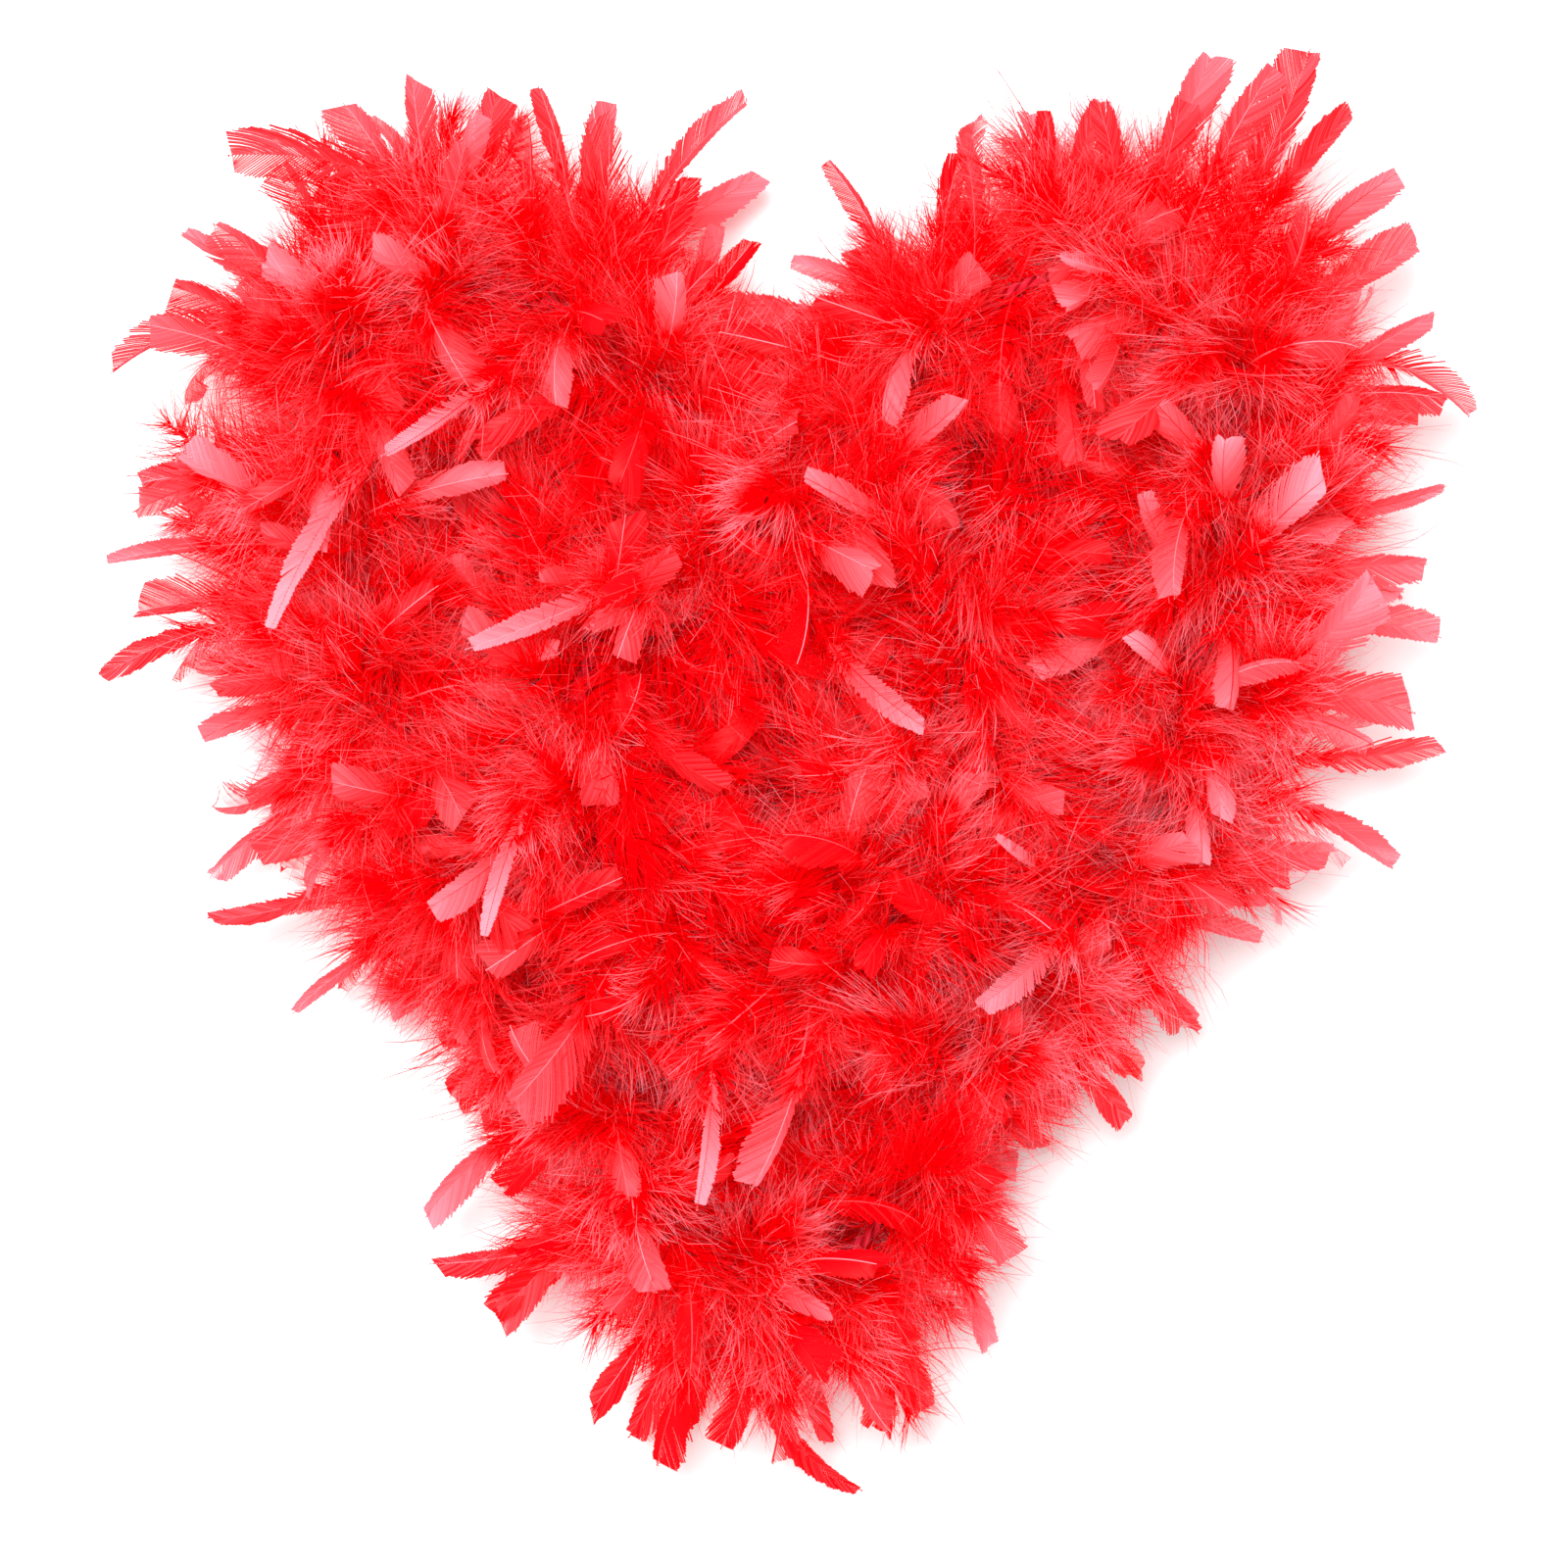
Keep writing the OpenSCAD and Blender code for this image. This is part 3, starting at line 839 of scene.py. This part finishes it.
def two_ply(line, side, over, diameter, pitch, start_phase=0.0):
    """A cord of two plies that twist round each other."""
    steps = np.linalg.norm(np.diff(line, axis=0), axis=1)
    phase = start_phase + 2 * np.pi * np.concatenate([[0.0], np.cumsum(steps)]) / pitch
    return [strand(line, side, over, 0.24 * diameter, phase + k * np.pi, 0.27 * diameter, 8, 0.4 + 0.2 * k)
            for k in (0, 1)]


def thread_turns(first, last, turns, tone):
    """Thread wound round the core side by side, between two distances along it."""
    s = bpy.context.scene.boa_cord
    t = np.linspace(0, 1, turns * 12 + 1)
    run = first + (last - first) * t
    _, side, over = CORE.frames(run)
    offset = s.diameter / 2 + 0.45 * s.thread
    return strand(CORE.at(run), side, over, offset, 2 * np.pi * turns * t, s.thread / 2, 6, tone)


def carried_frames(line):
    """Sides that turn as little as they can along a line, and what is across both."""
    ahead = unit(np.gradient(line, axis=0))
    sides = [unit(np.cross(ahead[0], UP + 0.1))]
    for a in ahead[1:]:
        sides.append(unit(sides[-1] - a * (sides[-1] * a).sum()))
    side = np.array(sides)
    return side, np.cross(side, ahead)


def knot_parts(centre, heading):
    """A tight overhand knot in the cord."""
    s = bpy.context.scene.boa_cord
    t = np.linspace(0, 2 * np.pi, 121)
    side = unit(np.cross(heading, UP))
    over = np.cross(side, heading)
    cord = 0.72 * s.diameter
    scale = (s.knot / 2 - cord / 2) / 3
    x, y, z = (v[:, None] for v in (np.sin(t) + 2 * np.sin(2 * t), np.cos(t) - 2 * np.cos(2 * t),
                                    -1.6 * np.sin(3 * t)))
    line = centre + scale * (x * heading + y * side + z * over)
    return two_ply(line, *carried_frames(line), cord, s.ply_pitch * 0.6)


def loose_end_parts(start, heading, rng):
    """The short length of cord beyond a knot, drooping and frayed at its end."""
    s = bpy.context.scene.boa_cord
    t = np.linspace(0, 1, 41)[:, None]
    line = start + heading * s.loose_end * t - UP * 0.12 * s.loose_end * t**2
    side, over = carried_frames(line)
    whole = 28
    parts = two_ply(line[:whole], side[:whole], over[:whole], 0.85 * s.diameter, s.ply_pitch)
    yarns = 18
    for k in range(yarns):
        part = np.linspace(0, 1, 41 - whole + 4)
        spread = s.diameter * (0.2 + rng.uniform(0.1, 0.55) * part**1.5)
        phase = 2 * np.pi * k / yarns + rng.normal(0, 0.3) + 0.8 * part
        thickness = 0.07 * s.diameter * (1 - 0.6 * part)
        parts.append(strand(line[whole - 4:], side[whole - 4:], over[whole - 4:], spread, phase, thickness, 4,
                            rng.uniform(0.4, 1)))
    return parts


def kept_inside(verts, ease=0.004):
    """Points eased up off the floor and in from the sides, so what would pass through lies flat."""
    low, high = CAD_BOX[0] - BARB_ROOM[0], CAD_BOX[1] + BARB_ROOM[1]
    verts = low + ease * np.logaddexp(0, (verts - low) / ease)
    return high - ease * np.logaddexp(0, (high - verts) / ease)


def joined(parts):
    """Several groups of faces as one, with their points counted on."""
    shift = np.cumsum([0] + [len(p[0]) for p in parts[:-1]])
    verts = np.vstack([p[0] for p in parts])
    faces = np.vstack([p[1] + k for p, k in zip(parts, shift)])
    rest = [np.concatenate([p[i] for p in parts]) for i in (2, 3, 4, 5)]
    return verts, faces, *rest


def mesh_of(name, parts, materials):
    verts, faces, along, tone, edge, kinds = joined(parts)
    verts = kept_inside(verts)
    mesh = bpy.data.meshes.new(name)
    mesh.vertices.add(len(verts))
    mesh.vertices.foreach_set("co", verts.astype(np.float32).ravel())
    mesh.loops.add(faces.size)
    mesh.loops.foreach_set("vertex_index", faces.astype(np.int32).ravel())
    mesh.polygons.add(len(faces))
    mesh.polygons.foreach_set("loop_start", (np.arange(len(faces)) * 4).astype(np.int32))
    for material in materials:
        mesh.materials.append(material)
    mesh.polygons.foreach_set("material_index", kinds.astype(np.int32))
    mesh.update(calc_edges=True)
    for name, values in (("along", along), ("tone", tone)):
        mesh.attributes.new(name, "FLOAT", "POINT").data.foreach_set("value", values.astype(np.float32))
    bake_map(mesh, faces, along, tone, edge, kinds)
    mesh.polygons.foreach_set("use_smooth", np.ones(len(faces), dtype=bool))
    mesh.validate()
    obj = bpy.data.objects.new(mesh.name, mesh)
    bpy.context.scene.collection.objects.link(obj)
    return obj


def bake_map(mesh, faces, along, tone, edge, kinds):
    """A map for baking: a column for each kind of face and tone, with its length up the column."""
    columns = KINDS * TONES
    column = np.repeat(kinds, 4) * TONES + (tone[faces.ravel()] * (TONES - 1)).round()
    u = (column + 0.15 + 0.7 * edge[faces.ravel()]) / columns
    v = 0.02 + 0.96 * along[faces.ravel()]
    layer = mesh.uv_layers.new(name="OFBake")
    layer.data.foreach_set("uv", np.stack([u, v], axis=1).astype(np.float32).ravel())


def fitted(piece, node):
    """A piece that rides the root body and stands in for a node."""
    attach(piece, "root")
    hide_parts(node)


# ---------------------------------------------------------------- operators

class BOA_OT_stage(Operator):
    """Lay the floor, hang the lights and set up the camera"""
    bl_idname = "boa.stage"
    bl_label = "Stage"

    def execute(self, context):
        scene = context.scene
        s = scene.boa_stage
        scene.view_settings.view_transform = "Standard"
        camera_data = bpy.data.cameras.new("Camera")
        camera_data.lens = s.camera_lens
        camera = bpy.data.objects.new("Camera", camera_data)
        camera.location = (*CAMERA_OVER, s.camera_height)
        scene.collection.objects.link(camera)
        scene.camera = camera

        material, tree = node_tree_of("Floor")
        surface = tree.nodes.new("ShaderNodeBsdfPrincipled")
        surface.inputs["Base Color"].default_value = (*s.floor_colour, 1.0)
        surface.inputs["Roughness"].default_value = 0.9
        surface.inputs["Specular IOR Level"].default_value = 0.1
        output = tree.nodes.new("ShaderNodeOutputMaterial")
        tree.links.new(surface.outputs[0], output.inputs["Surface"])
        mesh = bpy.data.meshes.new("Floor")
        corners = [(x * FLOOR_HALF, y * FLOOR_HALF, 0) for x, y in ((-1, -1), (1, -1), (1, 1), (-1, 1))]
        mesh.from_pydata(corners, [], [(0, 1, 2, 3)])
        mesh.materials.append(material)
        floor = bpy.data.objects.new("Floor", mesh)
        scene.collection.objects.link(floor)

        world = bpy.data.worlds.new("Room")
        world.use_nodes = True
        background = world.node_tree.nodes["Background"]
        background.inputs["Color"].default_value = (1.0, 1.0, 1.0, 1.0)
        background.inputs["Strength"].default_value = s.sky_strength
        scene.world = world

        light = bpy.data.lights.new("Overhead", "AREA")
        light.shape = "SQUARE"
        light.size = LIGHT_SIZE
        light.energy = s.overhead_power
        overhead = bpy.data.objects.new("Overhead", light)
        overhead.location = LIGHT_PLACE
        overhead.rotation_euler = LIGHT_TILT
        scene.collection.objects.link(overhead)
        return {"FINISHED"}


class BOA_OT_plumage(Operator):
    """Make the plumage, one stretch of feathers at a time"""
    bl_idname = "boa.plumage"
    bl_label = "Plumage"

    def execute(self, context):
        s = context.scene.boa_plumage
        materials = feather_materials()
        for k, node in enumerate(FEATHER_NODES):
            rng = np.random.default_rng([s.seed, k])
            pale = CORE.by_route(BINDINGS[k * BINDINGS_PER_STRETCH + 1], PALENESS)
            fluffy, vaned = (stretch_lines(k, kind, rng) for kind in (True, False))
            half = s.vane_half * rng.uniform(0.7, 1.4, vaned.count)
            tone = pale + 0.45 * rng.uniform(0, 1, vaned.count)**2
            parts = fluffy_feathers(fluffy, np.full(fluffy.count, pale), rng)
            parts += vaned_feathers(vaned, half, tone, rng)
            parts += placed_feathers(k, rng)
            fitted(mesh_of("plumage_" + node[-2:], parts, materials), node)
        return {"FINISHED"}


class BOA_OT_binding(Operator):
    """Wind the binding thread and the whippings"""
    bl_idname = "boa.binding"
    bl_label = "Binding and whippings"

    def execute(self, context):
        s = context.scene.boa_cord
        rng = np.random.default_rng(THREAD_SEED)
        half = s.turns * s.thread / 2
        bands = [thread_turns(run - half, run + half, s.turns, rng.uniform(0.3, 0.9))
                 for run in BINDINGS - BEHIND_QUILLS]
        fitted(mesh_of("thread", bands, [thread_material()]), "binding_thread")
        turns = int(s.whipping / s.thread)
        for end, first in (("start", 0.001), ("end", CORE.length - 0.001 - s.whipping)):
            wound = thread_turns(first, first + s.whipping, turns, 0.7)
            piece = mesh_of(end + "_whipping_thread", [wound], [thread_material()])
            fitted(piece, end + "_whipping")
        return {"FINISHED"}


class BOA_OT_knots(Operator):
    """Tie the knots and fray the cord ends beyond them"""
    bl_idname = "boa.knots"
    bl_label = "Knots and cord ends"

    def execute(self, context):
        s = context.scene.boa_cord
        rng = np.random.default_rng(FRAY_SEED)
        for end, run, way in (("start", 0.0, -1.0), ("end", CORE.length, 1.0)):
            place, heading = CORE.at(np.array(run)), way * CORE.heading(np.array(run))
            knot = mesh_of(end + "_overhand_knot", knot_parts(place + heading * s.knot / 2, heading),
                           [cord_material()])
            fitted(knot, end + "_knot")
            loose = loose_end_parts(place + heading * 0.8 * s.knot, heading, rng)
            fitted(mesh_of(end + "_loose_cord", loose, [cord_material()]), end + "_cord_end")
        return {"FINISHED"}


class BOA_OT_cord(Operator):
    """Lay the core cord that everything is tied to"""
    bl_idname = "boa.cord"
    bl_label = "Core cord"

    def execute(self, context):
        s = context.scene.boa_cord
        run = np.linspace(0, CORE.length, 1201)
        line = CORE.at(run)
        _, side, over = CORE.frames(run)
        cord = mesh_of("cord", two_ply(line, side, over, s.diameter, s.ply_pitch), [cord_material()])
        fitted(cord, "core_cord")
        return {"FINISHED"}


class BOA_PT_panel(Panel):
    """Buttons that make the boa's pieces"""
    bl_label = "Feather boa"
    bl_idname = "BOA_PT_panel"
    bl_space_type = "VIEW_3D"
    bl_region_type = "UI"
    bl_category = "Boa"

    def draw(self, context):
        for operator in OPERATORS:
            self.layout.operator(operator.bl_idname)


OPERATORS = (BOA_OT_stage, BOA_OT_plumage, BOA_OT_binding, BOA_OT_knots, BOA_OT_cord)
CLASSES = (StageSettings, PlumageSettings, CordSettings, *OPERATORS, BOA_PT_panel)


def register():
    for cls in CLASSES:
        bpy.utils.register_class(cls)
    bpy.types.Scene.boa_stage = PointerProperty(type=StageSettings)
    bpy.types.Scene.boa_plumage = PointerProperty(type=PlumageSettings)
    bpy.types.Scene.boa_cord = PointerProperty(type=CordSettings)


def unregister():
    del bpy.types.Scene.boa_cord
    del bpy.types.Scene.boa_plumage
    del bpy.types.Scene.boa_stage
    for cls in reversed(CLASSES):
        bpy.utils.unregister_class(cls)


def main():
    register()
    bpy.ops.boa.stage()
    bpy.ops.boa.plumage()
    bpy.ops.boa.binding()
    bpy.ops.boa.knots()
    bpy.ops.boa.cord()


if __name__ == "__main__":
    main()
